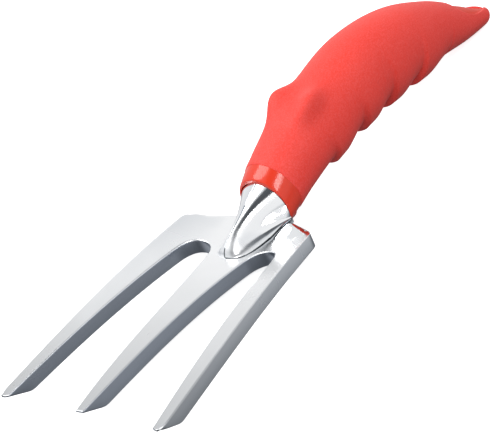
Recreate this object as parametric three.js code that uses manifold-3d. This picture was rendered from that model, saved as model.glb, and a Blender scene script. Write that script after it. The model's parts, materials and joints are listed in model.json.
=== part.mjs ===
// Three-tine garden hand fork: a cast aluminium head whose tang is buried in a hard plastic
// handle core, with a soft grip skin moulded over the core.
//
// Millimetres, +Z up. While it is built, X runs from the middle tine's tip (x = 0) to the tail of
// the handle, Y runs across the head and z = 0 is the flat under the head's web. The handle's tail
// reaches a little lower. At the end the assembly is moved so that its origin is the middle of its
// footprint.

import * as THREE from 'three';
import { mergeVertices } from 'three/addons/utils/BufferGeometryUtils.js';
import Module from 'manifold-3d';

const wasm = await Module();
wasm.setup();

// ---------------------------------------------------------------- driving dimensions

const GAP = 0.3;                    // clearance left between two touching pieces

const HEAD = {
  shoulderX: 120.4,                 // where the outer edges turn into the back edge
  shoulderHalfWidth: 38,
  depth: 7.4,                       // of the tines, top face to underside
  arch: 2.9,                        // how far the tines bow up between tips and shoulders
  dishRise: 6.9,                    // how far the shoulders lift above the middle
  dishFlatHalf: 8,                  // the strip along the middle that isn't dished
  slotEndX: 110.6,
  backX: 133.4,                     // the plate's rear end, just clear of the collar
  bevelLength: 13.5,                // the undersides rise to the tips over this length
  tipDepth: 0.9,
};

const SOCKET = {
  tipX: 102,                        // the pointed front end of the dome
  tipZ: 7.6,                        // height of its axis there
  tipRadius: 0.4,
  rearX: 140,                       // buried inside the collar
  rearZ: 15.8,
  rearRadius: 12.4,
  fullAt: 0.86,                     // the share of its length where it reaches that radius
  steps: 18,
  segments: 36,
};

const TANG = { startX: 128, endX: 222, width: 11, height: 8, keyRadius: 2.9, keyX: [162, 196] };

const GRIP = {
  frontX: 122,                      // where the lofts start, in front of the lip's plane
  lipX: 134.5,
  tailX: 300,
  coreEndX: 293,                    // the skin alone makes the last few millimetres
  skin: 2.6,                        // thickness of the soft skin
  collarWidth: 8,
  lipTilt: THREE.MathUtils.degToRad(3),
  collarTilt: THREE.MathUtils.degToRad(9),
  tailRound: 6,                     // the last millimetres of the tail are rounded off
  tailReach: 6.2,                   // and would close to a point over this length
  windowDrop: 0.7,                  // the bare core sits this far below the skin's surface
  stations: 60,
  segments: 32,
};

// Handle stations: x, height of the section's middle, half height, half width.
const STATIONS = [
  [120, 7.0, 11.6, 13.4],
  [134, 13.2, 12.2, 14.0],
  [143, 17.2, 13.8, 14.8],
  [154, 21.2, 15.2, 15.6],
  [172, 26.0, 16.6, 16.8],
  [192, 28.8, 18.0, 17.8],
  [213, 29.8, 19.0, 18.2],
  [238, 25.8, 18.0, 17.2],
  [260, 18.4, 14.2, 14.4],
  [278, 10.2, 9.8, 11.0],
  [292, 5.0, 6.4, 8.0],
  [300, 2.8, 4.6, 6.0],
];

const FINGERS = { firstX: 169, pitch: 23.8, count: 4, rise: 3.2, spread: 0.95 };
const THUMB = { x: 174, length: 9, rise: 4.6, angle: 0.75, spread: 0.42 };
const TAIL_DISH = { x: 286, length: 7.5, drop: 1.5, spread: 0.75 };

// The opening in the skin on top of the tail.
const WINDOW = {
  frontX: 282,                      // its front corners
  backX: 296,                       // and its back corners
  bulge: 14,                        // how far the curved front edge reaches ahead of the corners
  halfWidth: 6.2,
  backHalfWidth: 3.8,
  floorZ: 6,
  bareFromX: 260,
};

// ---------------------------------------------------------------- solids

function toSolid(geometry) {
  const bare = geometry.clone();
  bare.deleteAttribute('normal');
  bare.deleteAttribute('uv');
  const welded = mergeVertices(bare, 1e-5);
  return new wasm.Manifold(new wasm.Mesh({
    numProp: 3,
    vertProperties: new Float32Array(welded.attributes.position.array),
    triVerts: new Uint32Array(welded.index.array),
  }));
}

function toGeometry(solid) {
  const mesh = solid.getMesh();
  const geometry = new THREE.BufferGeometry();
  geometry.setAttribute('position', new THREE.BufferAttribute(mesh.vertProperties, 3));
  geometry.setIndex(new THREE.BufferAttribute(mesh.triVerts, 1));
  geometry.computeVertexNormals();
  return geometry;
}

// A closed skin over a row of rings, each a list of the same number of points.
function loftSolid(rings) {
  const around = rings[0].length;
  const points = rings.flat();
  const faces = [];
  for (let i = 0; i < rings.length - 1; i++) {
    for (let j = 0; j < around; j++) {
      const a = i * around + j;
      const b = i * around + (j + 1) % around;
      faces.push(a, b + around, b);
      faces.push(a, a + around, b + around);
    }
  }
  for (const [start, flip] of [[0, false], [(rings.length - 1) * around, true]]) {
    const centre = new THREE.Vector3();
    for (let j = 0; j < around; j++) {
      centre.addScaledVector(points[start + j], 1 / around);
    }
    points.push(centre);
    for (let j = 0; j < around; j++) {
      const a = start + j;
      const b = start + (j + 1) % around;
      faces.push(...(flip ? [b, a, points.length - 1] : [a, b, points.length - 1]));
    }
  }
  const geometry = new THREE.BufferGeometry().setFromPoints(points);
  geometry.setIndex(faces);
  return toSolid(geometry);
}

// ---------------------------------------------------------------- handle surface

const smoothstep = THREE.MathUtils.smoothstep;
const bell = (distance, width) => Math.exp(-((distance / width) ** 2));

// One smooth curve through a column of STATIONS.
function stationCurve(column) {
  const points = STATIONS.map((row) => new THREE.Vector2(row[0], row[column]));
  return (x) => {
    const last = STATIONS.length - 2;
    const i = Math.min(last, Math.max(0, STATIONS.findIndex((row) => row[0] > x) - 1));
    const k = x >= STATIONS[last + 1][0] ? last : i;
    const slope = (n) => {
      const before = points[Math.max(0, n - 1)];
      const after = points[Math.min(last + 1, n + 1)];
      return (after.y - before.y) / (after.x - before.x);
    };
    const span = points[k + 1].x - points[k].x;
    const t = (x - points[k].x) / span;
    return points[k].y * (1 + 2 * t) * (1 - t) ** 2
      + slope(k) * span * t * (1 - t) ** 2
      + points[k + 1].y * t * t * (3 - 2 * t)
      + slope(k + 1) * span * t * t * (t - 1);
  };
}

const middleHeight = stationCurve(1);
const halfHeight = stationCurve(2);
const halfWidth = stationCurve(3);

function spineTilt(x) {
  const step = 1;
  return Math.atan2(middleHeight(x + step) - middleHeight(x - step), 2 * step);
}

// Underside ridges: each finger hollow starts with a quick rounded step and ramps down behind it.
function fingerRise(x) {
  const along = (x - FINGERS.firstX) / FINGERS.pitch;
  if (along < 0 || along > FINGERS.count) {
    return 0;
  }
  const t = along % 1;
  return FINGERS.rise * smoothstep(t, 0, 0.16) * (1 - smoothstep(t, 0.18, 1.0));
}

// How far the surface stands out from the plain oval, at station x and angle from the top.
function relief(x, fromTop) {
  const fromBottom = Math.PI - Math.abs(fromTop);
  const fingers = fingerRise(x) * bell(fromBottom, FINGERS.spread);
  const lobes = THUMB.rise * bell(x - THUMB.x, THUMB.length)
    * bell(Math.abs(fromTop) - THUMB.angle, THUMB.spread);
  const dish = TAIL_DISH.drop * bell(x - TAIL_DISH.x, TAIL_DISH.length) * bell(fromTop, TAIL_DISH.spread);
  return fingers + lobes - dish;
}

// The ring of the handle's surface at station x, moved in by inset.
function gripRing(x, inset) {
  const tilt = spineTilt(x);
  const past = Math.max(0, x - (GRIP.tailX - GRIP.tailRound));
  const round = Math.sqrt(Math.max(0, 1 - (past / GRIP.tailReach) ** 2));
  const thinnest = 0.2;
  const ring = [];
  for (let j = 0; j < GRIP.segments; j++) {
    const angle = (j / GRIP.segments) * 2 * Math.PI;
    const fromTop = angle > Math.PI ? angle - 2 * Math.PI : angle;
    const outward = relief(x, fromTop) - inset;
    const across = Math.sin(angle) * Math.max(thinnest, (halfWidth(x) + outward) * round);
    const up = Math.cos(angle) * Math.max(thinnest, (halfHeight(x) + outward) * round);
    ring.push(new THREE.Vector3(
      x - up * Math.sin(tilt), across, middleHeight(x) + up * Math.cos(tilt),
    ));
  }
  return ring;
}

function gripSolid(inset, startX, endX) {
  const rings = [];
  for (let i = 0; i <= GRIP.stations; i++) {
    rings.push(gripRing(startX + (endX - startX) * (i / GRIP.stations), inset));
  }
  return loftSolid(rings);
}

// Everything in front of a leaning plane that crosses the spine at station x.
function frontZone(x, tilt) {
  const reach = 60;
  const slab = new THREE.BoxGeometry(reach, reach, 2 * reach).translate(-reach / 2, 0, 0);
  slab.rotateY(-tilt);
  return toSolid(slab.translate(x, 0, middleHeight(x)));
}

const lipZone = (margin) => frontZone(GRIP.lipX - margin, GRIP.lipTilt);
const collarZone = (margin) => frontZone(GRIP.lipX + GRIP.collarWidth + margin, GRIP.collarTilt);

// The space above the tail where the hard core is left bare.
function tailWindow(margin) {
  const front = WINDOW.frontX - margin;
  const back = WINDOW.backX + margin;
  const half = WINDOW.halfWidth + margin;
  const backHalf = WINDOW.backHalfWidth + margin;
  const outline = new THREE.Shape();
  outline.moveTo(front, half);
  outline.quadraticCurveTo(front - WINDOW.bulge, 0, front, -half);
  outline.lineTo(back, -backHalf);
  outline.quadraticCurveTo(GRIP.tailX + margin, 0, back, backHalf);
  outline.closePath();
  const reach = 40;
  const prism = new THREE.ExtrudeGeometry(outline, { depth: reach, bevelEnabled: false, curveSegments: 10 });
  return toSolid(prism.translate(0, 0, WINDOW.floorZ - margin));
}

// ---------------------------------------------------------------- fork head

// The +Y half of the head's outline seen from above, mirrored for the other side.
function headOutline() {
  const shoulderX = HEAD.shoulderX;
  const shoulderY = HEAD.shoulderHalfWidth;
  const edge = new THREE.Path();
  // from the middle tine's tip along its side and round the slot's end
  edge.moveTo(0, 2.1);
  edge.bezierCurveTo(30, 5.6, 70, 5.4, 102, 11.2);
  edge.bezierCurveTo(107, 12.1, HEAD.slotEndX, 15, HEAD.slotEndX, 19.8);
  edge.bezierCurveTo(HEAD.slotEndX, 25, 107, 27.4, 98, 28.6);
  // down the inside of the outer tine and round its tip
  edge.quadraticCurveTo(50, 36, 0, 43.5);
  edge.lineTo(-1, 47);
  edge.quadraticCurveTo(1, 48.8, 6, 48.4);
  // back along the outside to the shoulder, and in to the collar
  edge.quadraticCurveTo(62, 44.6, shoulderX - 2, shoulderY + 0.4);
  edge.quadraticCurveTo(shoulderX + 1, shoulderY - 0.2, shoulderX + 1.6, shoulderY - 2);
  edge.quadraticCurveTo(130.5, 27, HEAD.backX, 13);
  const half = edge.getPoints(10);
  const mirrored = half.map((p) => new THREE.Vector2(p.x, -p.y)).reverse();
  return new THREE.Shape([...half, ...mirrored]);
}

// How far the head's faces lift above a flat plate.
function dishLift(x, y) {
  const along = THREE.MathUtils.clamp(x / HEAD.shoulderX, 0, 1);
  const across = (Math.abs(y) - HEAD.dishFlatHalf) / (HEAD.shoulderHalfWidth - HEAD.dishFlatHalf);
  const arch = HEAD.arch * 4 * along * (1 - along);
  return arch + HEAD.dishRise * along ** 2 * Math.max(0, across) ** 2;
}

function dishedSlab() {
  const length = 148;
  const width = 104;
  const overhang = 6;
  const slab = new THREE.BoxGeometry(length, width, HEAD.depth, 24, 26, 1);
  slab.translate(length / 2 - overhang, 0, HEAD.depth / 2);
  const at = slab.attributes.position;
  for (let i = 0; i < at.count; i++) {
    at.setZ(i, at.getZ(i) + dishLift(at.getX(i), at.getY(i)));
  }
  return toSolid(slab);
}

// The wedge taken off under the tine tips.
function tipWedge() {
  const side = new THREE.Shape();
  const aheadX = -4;
  const belowZ = -1;
  const width = 110;
  side.moveTo(HEAD.bevelLength, 0);
  side.lineTo(aheadX, HEAD.depth - HEAD.tipDepth);
  side.lineTo(aheadX, belowZ);
  side.lineTo(HEAD.bevelLength, belowZ);
  side.closePath();
  const wedge = new THREE.ExtrudeGeometry(side, { depth: width, bevelEnabled: false });
  return toSolid(wedge.translate(0, 0, -width / 2).rotateX(Math.PI / 2));
}

// The round socket that swells out of the head's middle and runs into the collar.
function socketSolid(margin = 0) {
  const rings = [];
  for (let i = 0; i <= SOCKET.steps; i++) {
    const t = i / SOCKET.steps;
    const x = SOCKET.tipX + (SOCKET.rearX + margin - SOCKET.tipX) * t;
    const swell = Math.min(1, t / SOCKET.fullAt) ** 0.7;
    const radius = margin + SOCKET.tipRadius + (SOCKET.rearRadius - SOCKET.tipRadius) * swell;
    const centre = SOCKET.tipZ + (SOCKET.rearZ - SOCKET.tipZ) * t ** 1.1;
    const ring = [];
    for (let j = 0; j < SOCKET.segments; j++) {
      const angle = (j / SOCKET.segments) * 2 * Math.PI;
      ring.push(new THREE.Vector3(x, Math.sin(angle) * radius, centre + Math.cos(angle) * radius));
    }
    rings.push(ring);
  }
  return loftSolid(rings);
}

// A flat bar swept along the handle's spine, grown by margin on every side.
function tangBar(margin) {
  const path = new THREE.CatmullRomCurve3(
    [0, 0.25, 0.5, 0.75, 1].map((t) => {
      const x = TANG.startX + (TANG.endX + margin - TANG.startX) * t;
      return new THREE.Vector3(x, 0, middleHeight(x));
    }),
  );
  const halfAcross = TANG.width / 2 + margin;
  const halfDeep = TANG.height / 2 + margin;
  const section = new THREE.Shape();
  section.moveTo(-halfDeep, -halfAcross);
  section.lineTo(halfDeep, -halfAcross);
  section.lineTo(halfDeep, halfAcross);
  section.lineTo(-halfDeep, halfAcross);
  section.closePath();
  return toSolid(new THREE.ExtrudeGeometry(section, { steps: 20, extrudePath: path, bevelEnabled: false }));
}

// The two posts of core plastic that lock the handle onto the tang.
function keyPosts(radius) {
  const posts = TANG.keyX.map((x) => {
    const post = new THREE.CylinderGeometry(radius, radius, 40, 24);
    return toSolid(post.rotateX(Math.PI / 2).translate(x, 0, middleHeight(x)));
  });
  return posts[0].add(posts[1]);
}

function forkHeadGeometry() {
  const plan = new THREE.ExtrudeGeometry(headOutline(), { depth: 40, bevelEnabled: false });
  const plate = toSolid(plan.translate(0, 0, -5)).intersect(dishedSlab()).subtract(tipWedge());
  const tang = tangBar(0).subtract(keyPosts(TANG.keyRadius));
  return toGeometry(plate.add(socketSolid()).add(tang));
}

// ---------------------------------------------------------------- handle

// The hard core: collar in front, a shell under the skin and the bare top of the tail.
function handleCoreGeometry() {
  const full = gripSolid(0, GRIP.frontX, GRIP.tailX);
  const inner = gripSolid(GRIP.skin, GRIP.frontX, GRIP.coreEndX);
  const bareTail = gripSolid(GRIP.windowDrop, WINDOW.bareFromX, GRIP.tailX - 1);
  const shell = inner.add(full.intersect(collarZone(0))).add(bareTail.intersect(tailWindow(0)));
  const tangPocket = tangBar(GAP).subtract(keyPosts(TANG.keyRadius - GAP));
  const socketPocket = socketSolid(GAP);
  return toGeometry(shell.subtract(lipZone(0)).subtract(tangPocket).subtract(socketPocket));
}

// The soft skin: a sleeve over the core, open at the collar and on top of the tail.
function gripSkinGeometry() {
  const full = gripSolid(0, GRIP.frontX, GRIP.tailX);
  const inner = gripSolid(GRIP.skin - GAP, GRIP.frontX, GRIP.coreEndX + GAP);
  return toGeometry(full.subtract(collarZone(GAP)).subtract(tailWindow(GAP)).subtract(inner));
}

// ---------------------------------------------------------------- assembly

function piece(name, geometry, color, roughness, metalness) {
  const mesh = new THREE.Mesh(geometry, new THREE.MeshStandardMaterial({ color, roughness, metalness }));
  mesh.name = name;
  return mesh;
}

const fork = new THREE.Group();
fork.add(piece('fork_head', forkHeadGeometry(), '#c6c8cb', 0.28, 1));
fork.add(piece('handle_core', handleCoreGeometry(), '#de432d', 0.2, 0));
fork.add(piece('grip_skin', gripSkinGeometry(), '#ef544f', 0.75, 0));

const bounds = new THREE.Box3().setFromObject(fork);
const middle = bounds.getCenter(new THREE.Vector3());
fork.position.set(-middle.x, -middle.y, -bounds.min.z);

const assembly = new THREE.Group();
assembly.add(fork);

export default assembly;
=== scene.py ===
import json
import math

import bpy
import numpy as np
from mathutils import Matrix, Vector
from mathutils.geometry import delaunay_2d_cdt


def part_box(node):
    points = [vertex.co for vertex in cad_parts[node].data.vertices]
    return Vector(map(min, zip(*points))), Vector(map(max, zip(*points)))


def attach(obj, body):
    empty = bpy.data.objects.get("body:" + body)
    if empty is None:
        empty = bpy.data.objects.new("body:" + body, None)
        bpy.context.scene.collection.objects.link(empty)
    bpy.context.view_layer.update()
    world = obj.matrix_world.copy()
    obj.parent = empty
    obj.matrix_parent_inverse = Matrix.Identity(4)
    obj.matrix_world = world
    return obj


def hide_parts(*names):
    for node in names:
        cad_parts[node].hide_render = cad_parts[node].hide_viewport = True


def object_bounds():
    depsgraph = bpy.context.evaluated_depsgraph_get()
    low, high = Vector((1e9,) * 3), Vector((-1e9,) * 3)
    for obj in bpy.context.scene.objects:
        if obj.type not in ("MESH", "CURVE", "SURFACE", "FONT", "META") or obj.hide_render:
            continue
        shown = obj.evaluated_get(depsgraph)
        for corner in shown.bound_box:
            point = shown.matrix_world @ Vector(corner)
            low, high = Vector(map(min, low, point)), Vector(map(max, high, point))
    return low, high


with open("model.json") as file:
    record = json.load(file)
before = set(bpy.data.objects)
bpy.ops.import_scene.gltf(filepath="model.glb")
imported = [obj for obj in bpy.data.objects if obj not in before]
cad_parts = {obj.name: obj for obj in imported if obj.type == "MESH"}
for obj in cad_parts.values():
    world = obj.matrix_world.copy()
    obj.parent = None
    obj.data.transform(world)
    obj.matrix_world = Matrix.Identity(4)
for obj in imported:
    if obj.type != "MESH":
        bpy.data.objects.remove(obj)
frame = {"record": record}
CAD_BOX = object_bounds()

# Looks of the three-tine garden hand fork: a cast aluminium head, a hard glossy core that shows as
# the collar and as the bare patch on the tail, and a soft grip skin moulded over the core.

# Shapes are worked out in the part's drawing frame, in millimetres: x = 0 at the middle tine's tip,
# x grows towards the handle, y = 0 is the middle plane and z = 0 is the flat under the web.
MM = 0.001
OUTER_TIP_X = -1.0     # the outer tines reach a little further than the middle one
HEAD_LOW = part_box("fork_head")[0]
WEB_FLAT = next(mount for mount in frame["record"]["mounts"] if mount["name"] == "web_underside")
ORIGIN = Vector((HEAD_LOW[0] - OUTER_TIP_X * MM, 0, WEB_FLAT["pos_m"][2]))

# ------------------------------------------------------------------ tines and web, mm

SHOULDER_X = 120.4
SHOULDER_Y = 38.0
DEPTH = 7.4            # tines, top face to underside
ARCH = 2.9             # how far the tines bow up between tips and shoulders
DISH = 6.9             # how far the shoulders lift above the middle
DISH_FLAT = 8.0        # half width of the strip that isn't dished
SADDLE = {"rise": 0.8, "start_x": 112, "full_x": 130, "y": 13, "width": 6}   # beside the socket
SLOT_END_X = 110.6
BACK_X = 133.4
BEVEL = 13.5           # length of the chisel bevel under each tip
BEVEL_BLEND = 1.2      # it meets the underside in a curve about this deep
TIP_DEPTH = 0.9
OUTER_TINE_Y = 45.7    # an outer tine's middle line, level with the middle tine's tip
TOE_IN = 0.109         # and how fast it closes in towards the web

EDGE_RADIUS = 0.7      # rounding of the tines' edges
BACK_RADIUS = 2.6      # softer rounding of the web's back edge
BACK_ROUND_X = (123.5, 127.5)           # where the one grows into the other
RIM_TURNS = np.linspace(0, np.pi / 2, 5)
WALL_RINGS = slice(3, 7)                # the rows of points on the upright walls, between the rims

OUTLINE_SPACING = 0.8
PLATE_SPACING = 1.3    # of the points inside the outline
FINE_FROM_X = 98.0     # behind here the web's mesh is finer
FINE_SHARE = 0.6       # by this much
ROW_RATIO = 0.87       # of a staggered grid, row distance to point distance
RIM_CLEARANCE = 0.45   # grid points keep this share of the spacing from the rim
SHARP_DEGREES = 24

# ------------------------------------------------------------------ socket, mm

# Stations: x, half width at the web, height of the ridge, steepest slope of the flanks in degrees,
# radius of the fillet at their foot.
DOME_STATIONS = np.array([
    [102.4, 0.4, 9.4, 40, 0.2],
    [103.2, 4.6, 11.4, 42, 2.4],
    [105.0, 7.8, 13.2, 46, 4.6],
    [108.3, 9.8, 15.1, 52, 6.6],
    [112.0, 10.9, 16.6, 57, 8.0],
    [119.0, 12.1, 19.1, 66, 7.6],
    [126.0, 12.9, 22.2, 78, 4.6],
    [134.3, 14.0, 25.6, 97, 0.8],
])
DOME_START, DOME_END = DOME_STATIONS[0, 0], DOME_STATIONS[-1, 0]
DOME_RINGS = 120
DOME_CROWDING = 1.6    # an exponent over 1 sets the rings closer together at the nose
RIDGE_SLOPE = math.radians(20)  # how steeply each flank leaves the ridge at the nose
RIDGE_FLATTENING = 0.7          # the share of that slope that is gone at the rear
FOOT_SLOPE = math.radians(6)    # and how flat the flank meets the web
CREST_LEAD = (0.52, 0.12)       # how far the flank's curve keeps its ridge slope: nose, rear's gain
JOINT_LEAD = (0.40, 0.18)       # and its steepest slope, above the fillet
FLANK_POINTS = 48
FILLET_POINTS = 18
DOME_STEP = 0.2        # the socket's foot stands this far above the web
DOME_UNDER = 1.2       # its closed underside, hidden inside the web
BEHIND_UNDER = DEPTH - 1        # and where it passes the web's back edge
RIDGE_LINE = {"depth": 0.2, "width": 0.22}
# width of the painted shade lines round the socket's foot and along its ridge
CREASE_SHADE_WIDTH = 0.5
RIDGE_SHADE_SHARE = 0.6       # the ridge's painted shade line is this much of the foot's

# The round neck behind the socket. Its front rings are buried in the web.
NECK = {"start": DOME_END - 0.4, "end": 141.0, "half_width": 12.7, "drop": 0.7, "around": 96,
        "buried": (4.0, 0.1), "rings": 12, "climb": 0.42, "bottom": 2.2, "bottom_climb": 0.3}

# ------------------------------------------------------------------ handle, mm

LIP_X = 134.5
LIP_TILT = math.radians(3)
LIP_GAP = 0.2          # dark gap between socket and collar
COLLAR_WIDTH = 8.0
COLLAR_TILT = math.radians(9)
TAIL_X = 300.0
TAIL_ROUND = 6.0
SKIN = 2.6
SKIN_PROUD = 0.25      # the skin's edge stands this far over the collar

# Stations: x, height of the section's middle, half height, half width.
STATIONS = np.array([
    [120, 7.0, 11.6, 13.4],
    [134, 13.2, 12.2, 14.0],
    [143, 17.2, 13.8, 14.8],
    [154, 21.2, 15.2, 15.6],
    [172, 26.0, 16.6, 16.8],
    [192, 28.8, 18.0, 17.8],
    [213, 29.8, 19.0, 18.2],
    [238, 25.8, 18.0, 17.2],
    [260, 18.4, 14.2, 14.4],
    [278, 10.2, 9.8, 11.0],
    [292, 5.0, 6.4, 8.0],
    [300, 2.8, 4.6, 6.0],
])

# The finger ridges rise within the first share of each pitch and hold until the second.
FINGERS = {"x": 169.0, "pitch": 23.8, "count": 4, "rise": 3.6, "up_by": 0.12, "hold": 0.36,
           "spread": 1.12, "crease": 0.9, "crease_width": 0.05, "crease_fade": 0.1}
THUMB = {"x": 174.5, "length": 7.8, "rise": 5.6, "angle": 0.50, "spread": 0.28}
TAIL_DISH = {"x": 295.0, "length": 8.0, "drop": 2.2, "spread": 0.9}
WINDOW = {"x": 285.5, "half_length": 14.0, "half_angle": 1.1, "rim": 0.9}   # bare patch on the tail
WINDOW_DROP = 1.2      # the core's surface there, below the skin's
WINDOW_SINK = 2.2      # the skin's surface there, hidden under the core's
CORE_SPREAD = 0.86     # the core rises over a wider angle than the skin sinks over

# Rounded edges: how far behind the edge's plane, how far below the surface.
SKIN_EDGE = [(0.0, 1.6), (0.0, 0.2), (0.12, -0.1), (0.35, -SKIN_PROUD), (0.9, -SKIN_PROUD)]
LIP_EDGE = [(0.0, 0.55), (0.08, 0.25), (0.3, 0.06), (0.8, 0.0)]
BORE_DEPTHS = (5.0, 0.5, 0.1)   # rings of the collar's bore, behind its lip
BORE_INSET = 0.6
UNDER_SKIN = (0.2, 0.6)         # the collar's last ring, then the first one below the skin
SKIN_BLEND = 4.0       # behind the collar the leaning rings turn into plain ones over this length
RING_GAP = 0.6
CORE_START = 3.0
CORE_TAIL_GAP = 0.8    # the core's tail ends this far inside the skin's
SKIN_AROUND, SKIN_STATIONS, SKIN_CLOSING = 192, 240, 14
CORE_AROUND, CORE_STATIONS, CORE_CLOSING = 160, 170, 10
LEANING_RINGS = 10
CORE_SHARP_DEGREES = 50
SETTLE_STEPS = 12      # of the search for a leaning plane's stations
SETTLE_SHARE = 0.8


# ------------------------------------------------------------------ small helpers

def smoothstep(t, low, high):
    t = np.clip((t - low) / (high - low), 0, 1)
    return t * t * (3 - 2 * t)


def bell(distance, width):
    return np.exp(-((distance / width) ** 2))


def smooth_max(a, b, k):
    """The larger of a and b, rounded over where they are within k of each other."""
    h = np.clip(0.5 + 0.5 * (a - b) / k, 0, 1)
    return b + (a - b) * h + k * h * (1 - h)


def make_object(name, points_mm, faces, material, smooth_angle=None):
    """A mesh object from drawing-frame points, riding on the fork's one body."""
    mesh = bpy.data.meshes.new(name)
    points = np.asarray(points_mm) * MM + np.array(ORIGIN)
    mesh.from_pydata(points.tolist(), [], faces)
    mesh.validate()
    mesh.materials.append(material)
    obj = bpy.data.objects.new(name, mesh)
    bpy.context.scene.collection.objects.link(obj)
    mesh.shade_smooth()
    if smooth_angle is not None:
        mesh.set_sharp_from_angle(angle=math.radians(smooth_angle))
    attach(obj, "root")
    return obj


def set_mask(obj, name, values):
    """A number for each point of the mesh, which the material reads by name."""
    layer = obj.data.attributes.new(name, "FLOAT", "POINT")
    layer.data.foreach_set("value", values)


def loft(rings):
    """Points and faces of a skin over rows of rings, closed by a fan of triangles at each end."""
    rings = np.asarray(rings)
    count, around = rings.shape[:2]
    points = rings.reshape(-1, 3)
    faces = []
    for i in range(count - 1):
        for j in range(around):
            a = i * around + j
            b = i * around + (j + 1) % around
            faces.append((a, a + around, b + around, b))
    front = len(points)
    last = (count - 1) * around
    for j in range(around):
        k = (j + 1) % around
        faces.append((j, k, front))
        faces.append((last + k, last + j, front + 1))
    return np.vstack([points, rings[0].mean(axis=0), rings[-1].mean(axis=0)]), faces


def bezier(p0, p1, p2, p3, spacing=OUTLINE_SPACING):
    """Points along a cubic curve, about spacing apart, without its last point."""
    p = [np.array(q, float) for q in (p0, p1, p2, p3)]
    length = sum(np.linalg.norm(p[i + 1] - p[i]) for i in range(3))
    t = np.linspace(0, 1, max(3, int(length / spacing)) + 1)[:-1, None]
    s = 1 - t
    return p[0] * s**3 + p[1] * 3 * s * s * t + p[2] * 3 * s * t * t + p[3] * t**3


def quadratic(p0, p1, p2):
    p0, p1, p2 = (np.array(q, float) for q in (p0, p1, p2))
    return bezier(p0, p0 + (p1 - p0) * 2 / 3, p2 + (p1 - p2) * 2 / 3, p2)


def station_curve(stations, column):
    """A smooth curve through one column of a table of stations."""
    xs = stations[:, 0]
    ys = stations[:, column]
    slopes = np.empty(len(xs))
    slopes[1:-1] = (ys[2:] - ys[:-2]) / (xs[2:] - xs[:-2])
    slopes[0] = (ys[1] - ys[0]) / (xs[1] - xs[0])
    slopes[-1] = (ys[-1] - ys[-2]) / (xs[-1] - xs[-2])

    def at(x):
        k = np.clip(np.searchsorted(xs, x, side="right") - 1, 0, len(xs) - 2)
        span = xs[k + 1] - xs[k]
        t = (x - xs[k]) / span
        return (ys[k] * (1 + 2 * t) * (1 - t) ** 2 + slopes[k] * span * t * (1 - t) ** 2
                + ys[k + 1] * t * t * (3 - 2 * t) + slopes[k + 1] * span * t * t * (t - 1))
    return at


# ------------------------------------------------------------------ tines and web

def head_outline():
    """The head's plan outline, anticlockwise seen from above."""
    half = np.vstack([
        bezier((0, 2.1), (30, 5.6), (70, 5.4), (102, 11.2)),
        bezier((102, 11.2), (107, 12.1), (SLOT_END_X, 15), (SLOT_END_X, 19.8)),
        bezier((SLOT_END_X, 19.8), (SLOT_END_X, 25), (107, 27.4), (98, 28.6)),
        quadratic((98, 28.6), (50, 36), (0, 43.5)),
        quadratic((0, 43.5), (OUTER_TIP_X, 45), (OUTER_TIP_X, 47)),
        quadratic((OUTER_TIP_X, 47), (1, 48.8), (6, 48.4)),
        quadratic((6, 48.4), (62, 44.6), (SHOULDER_X - 2, SHOULDER_Y + 0.4)),
        quadratic((SHOULDER_X - 2, SHOULDER_Y + 0.4), (SHOULDER_X + 1, SHOULDER_Y - 0.2),
                  (SHOULDER_X + 1.6, SHOULDER_Y - 2)),
        quadratic((SHOULDER_X + 1.6, SHOULDER_Y - 2), (130.5, 27), (BACK_X, 13)),
        quadratic((BACK_X, 13), (BACK_X, 6), (BACK_X, 0)),
        [[BACK_X, 0]],
    ])
    mirrored = half[:-1][::-1] * (1, -1)
    return np.vstack([half, mirrored])[::-1]


def lift(x, y):
    """How far the head's faces stand above a flat plate: the arch, the dish and the saddle."""
    along = np.clip(x / SHOULDER_X, 0, 1)
    across = np.maximum(0, (np.abs(y) - DISH_FLAT) / (SHOULDER_Y - DISH_FLAT))
    arch = ARCH * 4 * along * (1 - along)
    dish = DISH * along**2 * across**2
    saddle = (SADDLE["rise"] * smoothstep(x, SADDLE["start_x"], SADDLE["full_x"])
              * bell(np.abs(y) - SADDLE["y"], SADDLE["width"]))
    return arch + dish + saddle


def head_top(x, y):
    return DEPTH + lift(x, y)


def head_bottom(x, y):
    bevel = (DEPTH - TIP_DEPTH) * (1 - x / BEVEL)
    return smooth_max(lift(x, y), bevel, BEVEL_BLEND)


def inward_normals(outline):
    ahead = np.roll(outline, -1, axis=0) - np.roll(outline, 1, axis=0)
    ahead /= np.linalg.norm(ahead, axis=1)[:, None]
    return np.stack([-ahead[:, 1], ahead[:, 0]], axis=1)


def edge_radius(x):
    """The rim's rounding: small on the tines, larger along the back edge."""
    return EDGE_RADIUS + (BACK_RADIUS - EDGE_RADIUS) * smoothstep(x, *BACK_ROUND_X)


def distance_to(points, outline):
    """Distance of each point to the nearest outline vertex, worked out a block at a time."""
    block = 64
    best = np.full(len(points), np.inf)
    for start in range(0, len(outline), block):
        nearby = outline[start:start + block]
        gap = np.linalg.norm(points[:, None] - nearby[None], axis=2).min(axis=1)
        best = np.minimum(best, gap)
    return best


def staggered_grid(low, high):
    """Points on staggered rows between two plan corners, closer together on the web."""
    grid = []
    fine = PLATE_SPACING * FINE_SHARE
    for start, end, step in ((low[0], FINE_FROM_X, PLATE_SPACING), (FINE_FROM_X, high[0], fine)):
        for k, y in enumerate(np.arange(low[1], high[1], step * ROW_RATIO)):
            for x in np.arange(start + (k % 2) * step / 2, end, step):
                grid.append((x, y))
    return np.array(grid)


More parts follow.
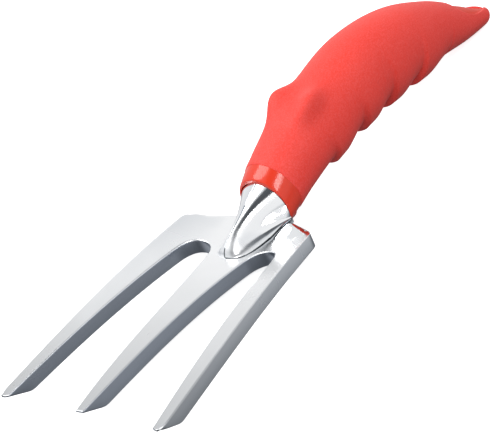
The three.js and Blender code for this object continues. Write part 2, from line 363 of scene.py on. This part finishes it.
def fill_outline(loop):
    """A triangle mesh inside a plan loop: its points, its faces and the loop's own points in it."""
    grid = staggered_grid(loop.min(axis=0), loop.max(axis=0))
    grid = grid[distance_to(grid, loop) > PLATE_SPACING * RIM_CLEARANCE]
    points = np.vstack([loop, grid])
    ring = list(range(len(loop)))
    inside_only = 1
    merge_distance = 1e-5
    result = delaunay_2d_cdt([Vector(p) for p in points], [], [ring], inside_only, merge_distance)
    used = sorted({i for face in result[2] for i in face})
    renumber = {old: new for new, old in enumerate(used)}
    plan = np.array([result[0][i][:] for i in used])
    faces = [tuple(renumber[i] for i in face) for face in result[2]]
    origin = {original: renumber[new] for new, group in enumerate(result[3])
              for original in group if new in renumber}
    return plan, faces, [origin[i] for i in ring]


def faces_a_gap(outline):
    """1 for outline points on the walls between two tines, where the material paints shade; 0 on the
    outside of the head.
    """
    x, y = outline.T
    return ((np.abs(y) < OUTER_TINE_Y - TOE_IN * x) & (x < SLOT_END_X + 1)).astype(float)


def plate_mesh():
    """The tines and web: two height fields joined by a wall with rounded rims."""
    outline = head_outline()
    inward = inward_normals(outline)
    radius = edge_radius(outline[:, 0])
    count = len(outline)
    points = []
    faces = []
    rings = []

    def add_ring(turn, surface, side):
        """A row round the outline, turned this far from the wall towards a face of the plate."""
        plan = outline + inward * (radius * (1 - np.cos(turn)))[:, None]
        height = surface(*plan.T) + side * radius * (1 - np.sin(turn))
        points.extend(np.column_stack([plan, height]).tolist())
        rings.append(len(points) - count)

    for turn in RIM_TURNS[::-1]:
        add_ring(turn, head_bottom, 1)
    for turn in RIM_TURNS:
        add_ring(turn, head_top, -1)
    for low, high in zip(rings, rings[1:]):
        for j in range(count):
            k = (j + 1) % count
            faces.append((low + j, low + k, high + k, high + j))

    plan, triangles, loop = fill_outline(outline + inward * radius[:, None])
    for surface, rim, flip in ((head_top, rings[-1], False), (head_bottom, rings[0], True)):
        start = len(points)
        points.extend(np.column_stack([plan, surface(*plan.T)]).tolist())
        weld = {start + vertex: rim + j for j, vertex in enumerate(loop)}
        for face in triangles:
            corners = tuple(weld.get(start + i, start + i) for i in face)
            faces.append(corners[::-1] if flip else corners)
    # the walls between the tines, where the material paints shade
    painted_gap_shade = np.zeros(len(points))
    for start in rings[WALL_RINGS]:
        painted_gap_shade[start:start + count] = faces_a_gap(outline)
    return np.array(points), faces, painted_gap_shade


# ------------------------------------------------------------------ socket

dome_width = station_curve(DOME_STATIONS, 1)
dome_crest = station_curve(DOME_STATIONS, 2)
dome_slope = station_curve(DOME_STATIONS, 3)
dome_fillet = station_curve(DOME_STATIONS, 4)


def dome_flank(x):
    """One flank's section from the ridge to its foot: a rounded drop, then a hollow fillet."""
    steep = math.radians(dome_slope(x))
    rear = smoothstep(x, DOME_START, DOME_END)
    ridge_slope = RIDGE_SLOPE * (1 - RIDGE_FLATTENING * rear)
    radius = dome_fillet(x)
    turns = np.linspace(steep, FOOT_SLOPE, FILLET_POINTS)
    fillet_across = radius * (math.sin(steep) - np.sin(turns))
    fillet_drop = radius * (np.cos(turns) - math.cos(steep))
    foot = np.array([dome_width(x), head_top(x, dome_width(x)) + DOME_STEP])
    joint = foot + np.array([-fillet_across[-1], fillet_drop[-1]])
    crest = np.array([0, dome_crest(x)])
    drop = crest[1] - joint[1]
    lead = (CREST_LEAD[0] + CREST_LEAD[1] * rear) * joint[0]
    lead = lead * np.array([math.cos(ridge_slope), -math.sin(ridge_slope)])
    tail = (JOINT_LEAD[0] + JOINT_LEAD[1] * rear) * min(drop / math.sin(steep), math.hypot(joint[0], drop))
    tail = tail * np.array([-math.cos(steep), math.sin(steep)])
    t = np.linspace(0, 1, FLANK_POINTS)[:, None]
    upper = (crest * (1 - t) ** 3 + (crest + lead) * 3 * t * (1 - t) ** 2
             + (joint + tail) * 3 * t * t * (1 - t) + joint * t**3)
    lower = joint + np.column_stack([fillet_across, -fillet_drop])[1:]
    flank = np.vstack([upper, lower])
    flank[:, 1] -= RIDGE_LINE["depth"] * bell(flank[:, 0], RIDGE_LINE["width"])
    return flank


def dome_ring(x):
    flank = dome_flank(x)
    left = flank[::-1] * (-1, 1)
    floor_height = DOME_UNDER if x < BACK_X - 1 else BEHIND_UNDER
    under = np.array([[dome_width(x), floor_height], [-dome_width(x), floor_height]])
    section = np.vstack([left, flank[1:], under])
    return np.column_stack([np.full(len(section), x), section])


def dome_rings():
    """The socket: a pointed prow with hollow-footed flanks that fill out to a round tube."""
    shares = np.linspace(0, 1, DOME_RINGS + 1) ** DOME_CROWDING
    return np.array([dome_ring(DOME_START + (DOME_END - DOME_START) * share) for share in shares])


def dome_crease_shade(rings):
    """1 on the painted shade lines, fine and dark, along the ridge and round the foot of the -Y flank."""
    across = rings[:, :, 1]
    from_foot = np.abs(np.abs(across) - np.abs(across[:, :1]))
    over_foot = np.abs(rings[:, :, 2] - rings[:, :1, 2])
    on_foot = (from_foot < CREASE_SHADE_WIDTH) & (over_foot < CREASE_SHADE_WIDTH) & (across < 0)
    on_ridge = np.abs(across) < CREASE_SHADE_WIDTH * RIDGE_SHADE_SHARE
    return (on_foot | on_ridge).astype(float).ravel()


def neck_reach(x):
    """Top and bottom of the round neck, which climbs with the handle."""
    rear = x - DOME_END
    top = DOME_STATIONS[-1, 2] - NECK["drop"] + NECK["climb"] * rear
    return top, NECK["bottom"] + NECK["bottom_climb"] * rear


def neck_rings():
    """The socket's round end inside the collar: a closed body of its own, which overlaps the web."""
    angle = np.linspace(0, 2 * np.pi, NECK["around"], endpoint=False)
    start = NECK["start"]
    buried = [start - depth for depth in NECK["buried"]]
    rings = []
    for x in [*buried, *np.linspace(start, NECK["end"], NECK["rings"])]:
        top, bottom = neck_reach(x)
        if x < start:
            top = BEHIND_UNDER
        height = (top + bottom) / 2 + np.cos(angle) * (top - bottom) / 2
        across = np.sin(angle) * NECK["half_width"]
        rings.append(np.column_stack([np.full(len(angle), x), across, height]))
    return rings


def build_head(material):
    points, faces, painted_gap_shade = plate_mesh()
    plate_count = len(points)
    dome = dome_rings()
    for rings in (dome, neck_rings()):
        more_points, more_faces = loft(rings)
        faces += [tuple(len(points) + i for i in face) for face in more_faces]
        points = np.vstack([points, more_points])
    head = make_object("fork_head_casting", points, faces, material, SHARP_DEGREES)
    # painted shade lines on the socket's ridge and foot
    crease_shade_lines = dome_crease_shade(dome)
    after_shade_lines = len(points) - plate_count - len(crease_shade_lines)
    set_mask(head, "crease_shade", np.pad(crease_shade_lines, (plate_count, after_shade_lines)))
    set_mask(head, "gap_wall_shade", np.pad(painted_gap_shade, (0, len(points) - plate_count)))
    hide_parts("fork_head")


# ------------------------------------------------------------------ handle surface

middle_height = station_curve(STATIONS, 1)
half_height = station_curve(STATIONS, 2)
half_width = station_curve(STATIONS, 3)


def climb(x):
    """The angle at which the handle's middle line climbs."""
    return math.atan2(middle_height(x + 1) - middle_height(x - 1), 2)


def finger_rise(x):
    """Underside ridges: a quick rounded step at each finger, ramping down behind it."""
    along = (x - FINGERS["x"]) / FINGERS["pitch"]
    if along < 0 or along > FINGERS["count"]:
        return 0.0
    t = along % 1
    steps = bell(t, FINGERS["crease_width"]) + bell(t - 1, FINGERS["crease_width"])
    crease = FINGERS["crease"] * steps * min(1, along / FINGERS["crease_fade"])
    ridge = smoothstep(t, 0, FINGERS["up_by"]) * (1 - smoothstep(t, FINGERS["hold"], 1))
    return FINGERS["rise"] * ridge - crease


def relief(x, from_top):
    """How far the handle's surface stands out from the plain oval."""
    from_bottom = np.pi - np.abs(from_top)
    fingers = finger_rise(x) * bell(from_bottom, FINGERS["spread"])
    lobes = (THUMB["rise"] * bell(x - THUMB["x"], THUMB["length"])
             * bell(np.abs(from_top) - THUMB["angle"], THUMB["spread"]))
    dish = (TAIL_DISH["drop"] * bell(x - TAIL_DISH["x"], TAIL_DISH["length"])
            * bell(from_top, TAIL_DISH["spread"]))
    return fingers + lobes - dish


def angles_from_top(around):
    """The angles of a ring's points, from 0 at the top: first down the +Y side, then up the other."""
    angle = np.linspace(0, 2 * np.pi, around, endpoint=False)
    return np.where(angle > np.pi, angle - 2 * np.pi, angle)


def grip_ring(x, inset, from_top):
    """The ring of the handle's surface at station x, moved in by inset (a number or one per point)."""
    tail = max(0.0, (x - (TAIL_X - TAIL_ROUND)) / TAIL_ROUND)
    shrink = math.sqrt(max(0.0, 1 - min(1, tail) ** 2))
    outward = relief(x, from_top) - inset
    across = np.sin(from_top) * (half_width(x) + outward) * shrink
    up = np.cos(from_top) * (half_height(x) + outward) * shrink
    tilt = climb(x)
    return np.column_stack([x - up * math.sin(tilt), across, middle_height(x) + up * math.cos(tilt)])


def surface_point(x, from_top, inset):
    tilt = climb(x)
    outward = float(relief(x, from_top)) - inset
    across = math.sin(from_top) * (half_width(x) + outward)
    up = math.cos(from_top) * (half_height(x) + outward)
    return (x - up * math.sin(tilt), across, middle_height(x) + up * math.cos(tilt))


def leaning_ring(stations, from_top, inset):
    """A ring of the handle's surface with a station of its own for each point."""
    return [surface_point(x, angle, inset) for x, angle in zip(stations, from_top)]


def plane_station(x_plane, tilt, from_top):
    """The station whose surface, at this angle from the top, meets the leaning plane through x_plane."""
    x = x_plane
    for _ in range(SETTLE_STEPS):
        point = surface_point(x, from_top, 0)
        wanted = x_plane - (point[2] - middle_height(x_plane)) * math.tan(tilt)
        x += (wanted - point[0]) * SETTLE_SHARE
    return x


def plane_stations(x_plane, tilt, from_top):
    return np.array([plane_station(x_plane, tilt, angle) for angle in from_top])


def in_window(x, from_top):
    """1 inside the bare patch on top of the tail, 0 outside it."""
    along = (x - WINDOW["x"]) / WINDOW["half_length"]
    across = from_top / WINDOW["half_angle"]
    return 1 - smoothstep(np.sqrt(along**2 + across**2), WINDOW["rim"], 1)


def stations_to_tail(start, count, closing, reach):
    """Even stations up to the tail's rounding, then closer ones that end at reach along it."""
    round_x = TAIL_X - TAIL_ROUND
    turns = np.linspace(0, np.pi / 2, closing)[1:-1]
    return [*np.linspace(start, round_x, count), *(round_x + reach * np.sin(turns))]


# ------------------------------------------------------------------ handle pieces

def build_skin(material):
    """The soft grip, from its rolled edge behind the collar to the tail's tip.

    It is a closed solid, not a shell: the core lies inside it, and the two surfaces cross round the
    bare patch on the tail.
    """
    from_top = angles_from_top(SKIN_AROUND)
    border = plane_stations(LIP_X + COLLAR_WIDTH, COLLAR_TILT, from_top)
    rings = [leaning_ring(border + along, from_top, inset) for along, inset in SKIN_EDGE]
    edge_end = border + SKIN_EDGE[-1][0]
    blend_end = border.max() + SKIN_BLEND
    for t in np.linspace(1 / LEANING_RINGS, 1, LEANING_RINGS):
        rings.append(leaning_ring(edge_end + (blend_end - edge_end) * t, from_top, -SKIN_PROUD * (1 - t)))
    for x in stations_to_tail(blend_end + RING_GAP, SKIN_STATIONS, SKIN_CLOSING, TAIL_ROUND):
        rings.append(grip_ring(x, WINDOW_SINK * in_window(x, from_top), from_top))
    points, faces = loft(rings)
    skin = make_object("soft_grip_skin", points, faces, material)
    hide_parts("grip_skin")


def bore_ring(lip, from_top, depth):
    """A ring just clear of the socket, this deep behind the collar's lip."""
    clear = 1 + (LIP_GAP + NECK["drop"]) / NECK["half_width"]
    ring = []
    for x, across, height in leaning_ring(lip, from_top, BORE_INSET):
        top, bottom = neck_reach(x)
        middle = (top + bottom) / 2
        reach = math.hypot(across / NECK["half_width"], (height - middle) / ((top - bottom) / 2))
        scale = min(1, clear / reach)
        ring.append((x + depth, across * scale, middle + (height - middle) * scale))
    return ring


def build_core(material):
    """The hard core, which shows as the collar and as the bare patch on top of the tail."""
    from_top = angles_from_top(CORE_AROUND)
    lip = plane_stations(LIP_X, LIP_TILT, from_top)
    border = plane_stations(LIP_X + COLLAR_WIDTH, COLLAR_TILT, from_top)
    rings = [bore_ring(lip, from_top, depth) for depth in BORE_DEPTHS]
    rings += [leaning_ring(lip + along, from_top, inset) for along, inset in LIP_EDGE]
    edge_end = lip + LIP_EDGE[-1][0]
    collar_end = border + UNDER_SKIN[0]
    for t in np.linspace(0.15, 1, LEANING_RINGS):
        rings.append(leaning_ring(edge_end + (collar_end - edge_end) * t, from_top, 0))
    rings.append(leaning_ring(border + UNDER_SKIN[1], from_top, SKIN))
    reach = TAIL_ROUND - CORE_TAIL_GAP
    for x in stations_to_tail(border.max() + CORE_START, CORE_STATIONS, CORE_CLOSING, reach):
        bare = in_window(x, from_top * CORE_SPREAD)
        rings.append(grip_ring(x, SKIN - (SKIN - WINDOW_DROP) * bare, from_top))
    points, faces = loft(rings)
    core = make_object("hard_handle_core", points, faces, material, CORE_SHARP_DEGREES)
    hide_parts("handle_core")


# ------------------------------------------------------------------ materials

NOISE_SPREAD = (0.3, 0.7)       # most of a noise's values lie between these

# Cast aluminium. Ranges in x are millimetres along the drawing.
METAL_CLOUD_SCALE = 45
POLISH_X = (108, 122)           # satin in front of this stretch, mirror-bright behind it
SATIN_ROUGHNESS = (0.26, 0.36)
BRIGHT_ROUGHNESS = (0.05, 0.10)
CLEAN_METAL = ((0.88, 0.89, 0.90, 1), (0.94, 0.945, 0.95, 1))
DULL_METAL = (0.54, 0.55, 0.56, 1)      # at the tips
DULL_X = (0, 105)                       # and fading out towards the web
GAP_WALL_SHADE_METAL = (0.50, 0.53, 0.58, 1)  # painted shade: the walls between the tines are tinted darker, for the shade that falls in the gaps
CREASE_SHADE_METAL = (0.06, 0.07, 0.08, 1)      # painted shade: thin dark lines on the socket's ridge and flank foot, drawn in colour with no gap behind them
SCRATCHES = {"stretch": (120, 2600, 2600), "detail": 3, "strength": 0.05, "depth": 0.0002}

# Hard plastic of the core.
CORE_CLOUD_SCALE = 60
CORE_COLORS = ((0.74, 0.040, 0.016, 1), (0.80, 0.052, 0.022, 1))
CORE_ROUGHNESS = (0.12, 0.20)
CORE_FINE_SCALE = 900
WORN_X = (255, 265)             # behind here the core is duller
WORN_ROUGHNESS = 0.3            # by this much
CORE_SPECULAR = 0.42
CORE_RIPPLE = {"scale": 220, "strength": 0.04, "depth": 0.0004}

# Soft elastomer of the skin.
SKIN_CLOUD_SCALE = 35
SKIN_COLORS = ((0.86, 0.046, 0.030, 1), (0.94, 0.060, 0.041, 1))
# painted glints: a paler pink on the grain's peaks, for their highlights
SKIN_GLINT = (1.0, 0.13, 0.12, 1)
GLINT_RANGE = (0.42, 0.66)    # the grain's peaks, which take up to half of the painted glint colour
GLINT_MOST = 0.5
SKIN_GRAIN = {"scale": 1500, "roughness": 0.7, "strength": 0.6, "depth": 0.0004}
SKIN_ROUGHNESS = (0.42, 0.58)
SKIN_SPECULAR = 0.3
SKIN_SHEEN = {"Sheen Weight": 0.06, "Sheen Roughness": 0.5, "Sheen Tint": (1.0, 0.62, 0.58, 1)}


class Graph:
    """A node tree, with a short call for each kind of node that is used more than once."""

    def __init__(self, tree):
        self.nodes = tree.nodes
        self.links = tree.links

    def set(self, node, inputs):
        """Links the inputs that are given as sockets, and sets the others."""
        for name, value in inputs.items():
            if isinstance(value, bpy.types.NodeSocket):
                self.links.new(value, node.inputs[name])
            else:
                node.inputs[name].default_value = value

    def add(self, kind, output, inputs, **settings):
        node = self.nodes.new(kind)
        for name, value in settings.items():
            setattr(node, name, value)
        self.set(node, inputs)
        return node.outputs[output]

    def place(self):
        return self.add("ShaderNodeTexCoord", "Object", {})

    def noise(self, vector, scale, detail=4, roughness=0.5):
        inputs = {"Vector": vector, "Scale": scale, "Detail": detail, "Roughness": roughness}
        return self.add("ShaderNodeTexNoise", "Fac", inputs)

    def remap(self, value, source, target):
        inputs = {"Value": value, "From Min": source[0], "From Max": source[1],
                  "To Min": target[0], "To Max": target[1]}
        return self.add("ShaderNodeMapRange", "Result", inputs)

    def along_x(self, place, x_range, target):
        """Remaps a stretch of the drawing's x onto target."""
        x = self.add("ShaderNodeSeparateXYZ", "X", {"Vector": place})
        return self.remap(x, [ORIGIN.x + end * MM for end in x_range], target)

    def mix(self, factor, first, second):
        return self.add("ShaderNodeMix", "Result", {"Factor": factor, "A": first, "B": second})

    def mix_colors(self, factor, first, second):
        inputs = {"Factor": factor, "A": first, "B": second}
        return self.add("ShaderNodeMix", "Result", inputs, data_type="RGBA")

    def mask(self, name):
        """The numbers that set_mask gave the mesh."""
        return self.add("ShaderNodeAttribute", "Fac", {}, attribute_name=name)

    def bump(self, height, strength, distance):
        inputs = {"Height": height, "Strength": strength, "Distance": distance}
        return self.add("ShaderNodeBump", "Normal", inputs)


def new_material(name):
    material = bpy.data.materials.new(name)
    material.use_nodes = True
    return material, Graph(material.node_tree), material.node_tree.nodes["Principled BSDF"]


def metal_material():
    """Cast aluminium: satin on the tines and web, mirror-bright on the socket and back slope."""
    material, graph, shader = new_material("cast_aluminium")
    place = graph.place()
    cloud = graph.noise(place, METAL_CLOUD_SCALE)
    satin = graph.remap(cloud, NOISE_SPREAD, SATIN_ROUGHNESS)
    bright = graph.remap(cloud, NOISE_SPREAD, BRIGHT_ROUGHNESS)
    polished = graph.along_x(place, POLISH_X, (0, 1))
    tint = graph.mix_colors(cloud, *CLEAN_METAL)
    tint = graph.mix_colors(graph.along_x(place, DULL_X, (1, 0)), tint, DULL_METAL)
    # painted shade on the walls between the tines
    tint = graph.mix_colors(graph.mask("gap_wall_shade"), tint, GAP_WALL_SHADE_METAL)
    # painted shade lines along the socket's ridge and round the -Y flank's foot
    tint = graph.mix_colors(graph.mask("crease_shade"), tint, CREASE_SHADE_METAL)
    stretched = graph.add("ShaderNodeMapping", "Vector",
                          {"Vector": place, "Scale": SCRATCHES["stretch"]})
    scratches = graph.noise(stretched, 1, SCRATCHES["detail"])
    graph.set(shader, {
        "Base Color": tint,
        "Roughness": graph.mix(polished, satin, bright),
        "Metallic": 1,
        "Normal": graph.bump(scratches, SCRATCHES["strength"], SCRATCHES["depth"]),
    })
    return material


def core_material():
    """Hard glossy orange-red plastic, duller on the tail's bare patch."""
    material, graph, shader = new_material("hard_plastic")
    place = graph.place()
    fine = graph.remap(graph.noise(place, CORE_FINE_SCALE, 2), NOISE_SPREAD, CORE_ROUGHNESS)
    worn = graph.along_x(place, WORN_X, (0, WORN_ROUGHNESS))
    ripple = graph.noise(place, CORE_RIPPLE["scale"], 2)
    graph.set(shader, {
        "Base Color": graph.mix_colors(graph.noise(place, CORE_CLOUD_SCALE), *CORE_COLORS),
        "Roughness": graph.add("ShaderNodeMath", "Value", {0: fine, 1: worn}, operation="ADD"),
        "Specular IOR Level": CORE_SPECULAR,
        "Normal": graph.bump(ripple, CORE_RIPPLE["strength"], CORE_RIPPLE["depth"]),
    })
    return material


def skin_material():
    """Soft matte coral elastomer with a fine spark-eroded grain."""
    material, graph, shader = new_material("soft_skin")
    place = graph.place()
    grain = graph.noise(place, SKIN_GRAIN["scale"], 2, SKIN_GRAIN["roughness"])
    tint = graph.mix_colors(graph.noise(place, SKIN_CLOUD_SCALE), *SKIN_COLORS)
    # painted glints on the grain's peaks
    glints = graph.remap(grain, GLINT_RANGE, (0, GLINT_MOST))
    graph.set(shader, {
        "Base Color": graph.mix_colors(glints, tint, SKIN_GLINT),
        "Roughness": graph.remap(grain, NOISE_SPREAD, SKIN_ROUGHNESS),
        "Specular IOR Level": SKIN_SPECULAR,
        **SKIN_SHEEN,
        "Normal": graph.bump(grain, SKIN_GRAIN["strength"], SKIN_GRAIN["depth"]),
    })
    return material


# ------------------------------------------------------------------ stage

FLOOR = {"size": 12, "drop": 0.0005, "grey": 0.8, "roughness": 0.9, "glow": 0.75}

# The room's brightness by the angle round the fork's long axis, in degrees: 0 is overhead, 90 is
# +Y and 180 is below. FAR_BANDS holds in directions that lean towards the handle, and NEAR_BANDS
# in the others. Both have a dark gap between bright panels just short of overhead. They are set
# for the camera's view, so that the polished metal has its highlights in the right places.
FAR_BANDS = [
    (-180, 0.10),
    (-150, 0.24),
    (-125, 0.42),
    (-95, 0.42),
    (-70, 0.80),
    (-34, 0.85),
    (-27, 0.16),
    (-6, 0.16),
    (4, 0.75),
    (45, 0.98),
    (90, 0.95),
    (120, 0.30),
    (180, 0.10),
]
NEAR_BANDS = [
    (-180, 0.10),
    (-120, 0.14),
    (-100, 0.32),
    (-84, 0.92),
    (-32, 0.95),
    (-27, 0.07),
    (-4, 0.09),
    (2, 0.80),
    (70, 0.80),
    (110, 0.60),
    (150, 0.12),
]
LEAN = (0.15, 0.32)             # the x of a direction over which the one turns into the other
COOLNESS = (0.09, 0.22)         # how much greener and bluer the darkest bands are

LIGHT_TARGET = (-0.01, 0, 0.02)
LIGHTS = [
    {"name": "front_strip", "place": (-0.27, -0.80, 0.87), "size": (0.34, 0.42), "power": 4.0},
    {"name": "top_panel", "place": (-0.29, 0.50, 1.04), "size": (0.50, 0.80), "power": 6.5},
]

CAMERA = {"azimuth": -37.84, "elevation": 30.03, "roll": -24.05, "distance": 1.4016,
          "aim": (-0.0280, 0, 0.0184), "sensor": 36, "lens": 237.4, "clip_end": 20}


def build_floor():
    """A pale floor that takes the fork's shadow but lights nothing."""
    height = CAD_BOX[0][2] - FLOOR["drop"]
    bpy.ops.mesh.primitive_plane_add(size=FLOOR["size"], location=(0, 0, height))
    floor = bpy.context.object
    floor.name = "studio_floor"
    material, graph, shader = new_material("studio_floor")
    graph.set(shader, {
        "Base Color": (FLOOR["grey"], FLOOR["grey"], FLOOR["grey"], 1),
        "Roughness": FLOOR["roughness"],
        "Emission Color": (1, 1, 1, 1),
        "Emission Strength": FLOOR["glow"],
    })
    floor.data.materials.append(material)
    floor.visible_glossy = False
    floor.visible_diffuse = False


def band_ramp(graph, share, bands):
    """The colour of a list of bands at this share of the turn from -180 to 180 degrees."""
    ramp = graph.nodes.new("ShaderNodeValToRGB")
    positions = [(degrees + 180) / 360 for degrees, _ in bands]
    for position in positions[1:-1]:
        ramp.color_ramp.elements.new(position)
    for element, position, (_, grey) in zip(ramp.color_ramp.elements, positions, bands):
        dark = 1 - grey
        element.position = position
        element.color = (grey, grey * (1 + COOLNESS[0] * dark), grey * (1 + COOLNESS[1] * dark), 1)
    graph.set(ramp, {"Fac": share})
    return ramp.outputs["Color"]


def build_world():
    """Bright panels and dark gaps round the fork's long axis, for the metal to reflect."""
    world = bpy.data.worlds.new("studio")
    bpy.context.scene.world = world
    world.use_nodes = True
    graph = Graph(world.node_tree)
    direction = graph.add("ShaderNodeTexCoord", "Generated", {})
    x, y, z = (graph.add("ShaderNodeSeparateXYZ", axis, {"Vector": direction}) for axis in "XYZ")
    turn = graph.add("ShaderNodeMath", "Value", {0: y, 1: z}, operation="ARCTAN2")
    share = graph.remap(turn, (-math.pi, math.pi), (0, 1))
    near = band_ramp(graph, share, NEAR_BANDS)
    far = band_ramp(graph, share, FAR_BANDS)
    color = graph.mix_colors(graph.remap(x, LEAN, (0, 1)), near, far)
    graph.set(world.node_tree.nodes["Background"], {"Color": color, "Strength": 1})


def build_light(name, place, size, power):
    data = bpy.data.lights.new(name, "AREA")
    data.shape = "RECTANGLE"
    data.size, data.size_y = size
    data.energy = power
    lamp = bpy.data.objects.new(name, data)
    bpy.context.scene.collection.objects.link(lamp)
    aim = Vector(LIGHT_TARGET) - Vector(place)
    lamp.matrix_world = Matrix.Translation(place) @ aim.to_track_quat("-Z", "Y").to_matrix().to_4x4()


def build_camera():
    """A long lens from beyond the tine tips, rolled so that the fork rises to the right."""
    azimuth, elevation, roll = (math.radians(CAMERA[key]) for key in ("azimuth", "elevation", "roll"))
    back = Vector((math.sin(azimuth) * math.cos(elevation),
                   -math.cos(azimuth) * math.cos(elevation), math.sin(elevation)))
    level_right = Vector((math.cos(azimuth), math.sin(azimuth), 0))
    level_up = back.cross(level_right)
    right = level_right * math.cos(roll) + level_up * math.sin(roll)
    up = level_up * math.cos(roll) - level_right * math.sin(roll)
    data = bpy.data.cameras.new("camera")
    data.sensor_width = CAMERA["sensor"]
    data.lens = CAMERA["lens"]
    data.clip_end = CAMERA["clip_end"]
    camera = bpy.data.objects.new("camera", data)
    bpy.context.scene.collection.objects.link(camera)
    turn = Matrix((right, up, back)).transposed().to_4x4()
    place = Vector(CAMERA["aim"]) + back * CAMERA["distance"]
    camera.matrix_world = Matrix.Translation(place) @ turn
    bpy.context.scene.camera = camera


build_camera()
build_head(metal_material())
build_core(core_material())
build_skin(skin_material())
build_floor()
build_world()
for light in LIGHTS:
    build_light(**light)
bpy.context.scene.view_settings.view_transform = "Standard"
